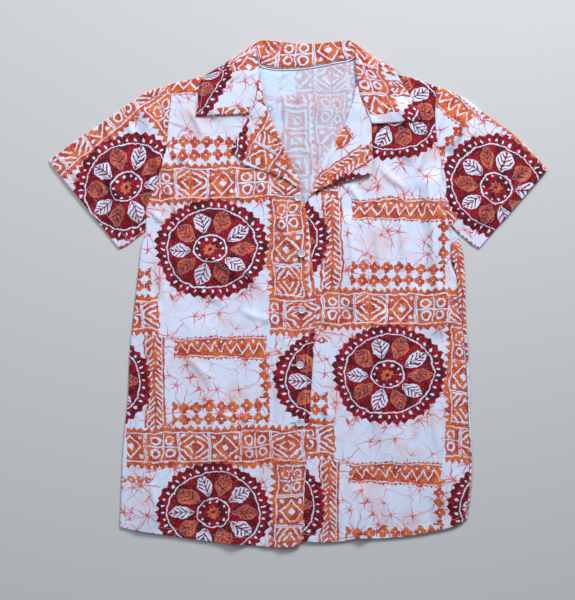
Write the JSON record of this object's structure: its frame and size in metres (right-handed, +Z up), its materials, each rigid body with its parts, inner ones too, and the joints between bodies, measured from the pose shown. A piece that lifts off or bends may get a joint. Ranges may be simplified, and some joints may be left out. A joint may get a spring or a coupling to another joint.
{
  "type": "hawaiian shirt laid flat",
  "caption": "Short-sleeved hawaiian camp shirt with a notched collar, buttoned up the front and laid flat on its back, printed cotton cloth.",
  "frame": {"origin": "on the surface that the shirt lies on, under the middle of its outline", "axes": "+Y from hem to collar, +X to the right seen from above with the collar at the top, +Z up from the surface; the wearer's right half lies at -X"},
  "size_m": [0.7578, 0.7698, 0.0109],
  "materials": {
    "printed_cotton": "matt plain-weave cotton, white ground printed in orange and maroon",
    "button": "pearly grey-white, slightly translucent"
  },
  "bodies": {
    "root": {"back": "printed_cotton", "front_left": "printed_cotton", "front_right": "printed_cotton", "sleeve_right": "printed_cotton", "sleeve_left": "printed_cotton", "facing_right": "printed_cotton", "facing_left": "printed_cotton", "collar": "printed_cotton", "button_1": "button", "button_2": "button", "button_3": "button", "button_4": "button", "button_5": "button"}
  },
  "joints": []
}
